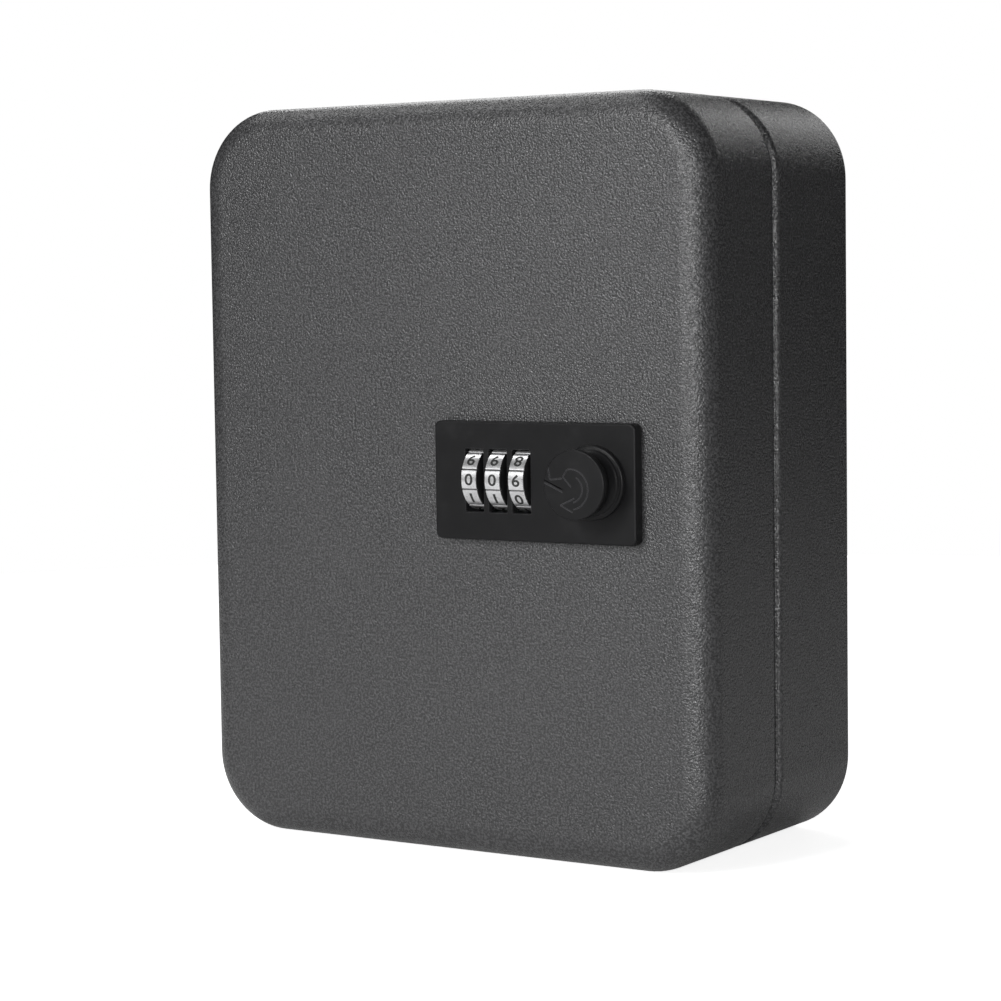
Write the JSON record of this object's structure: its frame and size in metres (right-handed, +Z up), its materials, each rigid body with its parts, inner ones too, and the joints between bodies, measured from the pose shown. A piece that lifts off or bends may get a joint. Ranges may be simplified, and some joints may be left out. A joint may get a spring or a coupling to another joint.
{
  "type": "key lock box",
  "caption": "Wall-mounted steel key lock box with rounded corners, a hinged door, rows of key hooks and a dial combination lock with a turning knob.",
  "frame": {"origin": "centre of the flat back face, where the box meets the wall", "axes": "+X to the right seen from the front, +Y into the wall, +Z up; the door faces -Y"},
  "size_m": [0.1621, 0.0932, 0.2],
  "materials": {
    "powder_coat": "fine-textured anthracite powder coat",
    "lock_black": "satin black coating on die-cast zinc",
    "zinc_plate": "bright zinc plate",
    "plain_steel": "nickel-plated steel",
    "spring_steel": "polished spring steel",
    "digit_wheel": "black wheel with silver printed faces",
    "sleeve_brass": "machined"
  },
  "bodies": {
    "cabinet": {"cabinet_shell": "powder_coat", "hinge_leaf_cabinet": "plain_steel", "hinge_pin": "plain_steel", "strike_plate": "zinc_plate", "back_hook_strip_1": "zinc_plate", "back_hook_strip_2": "zinc_plate", "back_hook_strip_3": "zinc_plate", "back_hook_strip_4": "zinc_plate"},
    "door": {"door_shell": "powder_coat", "hinge_leaf_door": "plain_steel", "door_hook_strip_1": "zinc_plate", "door_hook_strip_2": "zinc_plate", "door_hook_strip_3": "zinc_plate", "door_hook_strip_4": "zinc_plate", "lock_bezel": "lock_black", "lock_case": "zinc_plate", "lock_cover": "zinc_plate", "clamp_frame": "zinc_plate", "clamp_screw_1": "plain_steel", "clamp_screw_2": "plain_steel", "clamp_screw_3": "plain_steel", "clamp_screw_4": "plain_steel", "cover_screw_1": "plain_steel", "cover_screw_2": "plain_steel", "cover_screw_3": "plain_steel", "cover_screw_4": "plain_steel", "wheel_axle": "plain_steel", "sleeve_spring": "spring_steel", "detent_spring": "spring_steel", "fence_slider": "zinc_plate"},
    "knob_set": {"knob": "lock_black", "spindle": "plain_steel", "latch_cam": "zinc_plate", "cam_washer": "plain_steel", "cam_screw": "plain_steel"},
    "reset": {"reset_lever": "zinc_plate"},
    "wheel_1": {"digit_wheel_1": "digit_wheel"},
    "sleeve_1": {"clutch_sleeve_1": "sleeve_brass"},
    "wheel_2": {"digit_wheel_2": "digit_wheel"},
    "sleeve_2": {"clutch_sleeve_2": "sleeve_brass"},
    "wheel_3": {"digit_wheel_3": "digit_wheel"},
    "sleeve_3": {"clutch_sleeve_3": "sleeve_brass"}
  },
  "joints": [
    {"name": "door_hinge", "type": "hinge", "parent": "cabinet", "child": "door", "pos_m": [-0.08, -0.0427, 0], "axis": [0, 0, -1], "range_deg": [0, 170]},
    {"name": "knob_turn", "type": "hinge", "parent": "door", "child": "knob_set", "pos_m": [0.0491, -0.0835, 0.0009], "axis": [0, 1, 0], "range_deg": [0, 90]},
    {"name": "wheel_1_turn", "type": "hinge", "parent": "door", "child": "wheel_1", "pos_m": [0.0129, -0.0778, 0.0009], "axis": [1, 0, 0], "continuous": true},
    {"name": "wheel_2_turn", "type": "hinge", "parent": "door", "child": "wheel_2", "pos_m": [0.02015, -0.0778, 0.0009], "axis": [1, 0, 0], "continuous": true},
    {"name": "wheel_3_turn", "type": "hinge", "parent": "door", "child": "wheel_3", "pos_m": [0.0274, -0.0778, 0.0009], "axis": [1, 0, 0], "continuous": true},
    {"name": "reset_slide", "type": "slide", "parent": "door", "child": "reset", "axis": [1, 0, 0], "range_m": [0, 0.001], "stiffness_N_per_m": 300, "springref_m": -0.001},
    {"name": "sleeve_1_slide", "type": "slide", "parent": "wheel_1", "child": "sleeve_1", "axis": [1, 0, 0], "range_m": [0, 0.001]},
    {"name": "sleeve_2_slide", "type": "slide", "parent": "wheel_2", "child": "sleeve_2", "axis": [1, 0, 0], "range_m": [0, 0.001]},
    {"name": "sleeve_3_slide", "type": "slide", "parent": "wheel_3", "child": "sleeve_3", "axis": [1, 0, 0], "range_m": [0, 0.001]}
  ],
  "couplings": [
    {"joint": "sleeve_1_slide", "follows": "reset_slide", "ratio": 1},
    {"joint": "sleeve_2_slide", "follows": "reset_slide", "ratio": 1},
    {"joint": "sleeve_3_slide", "follows": "reset_slide", "ratio": 1}
  ]
}
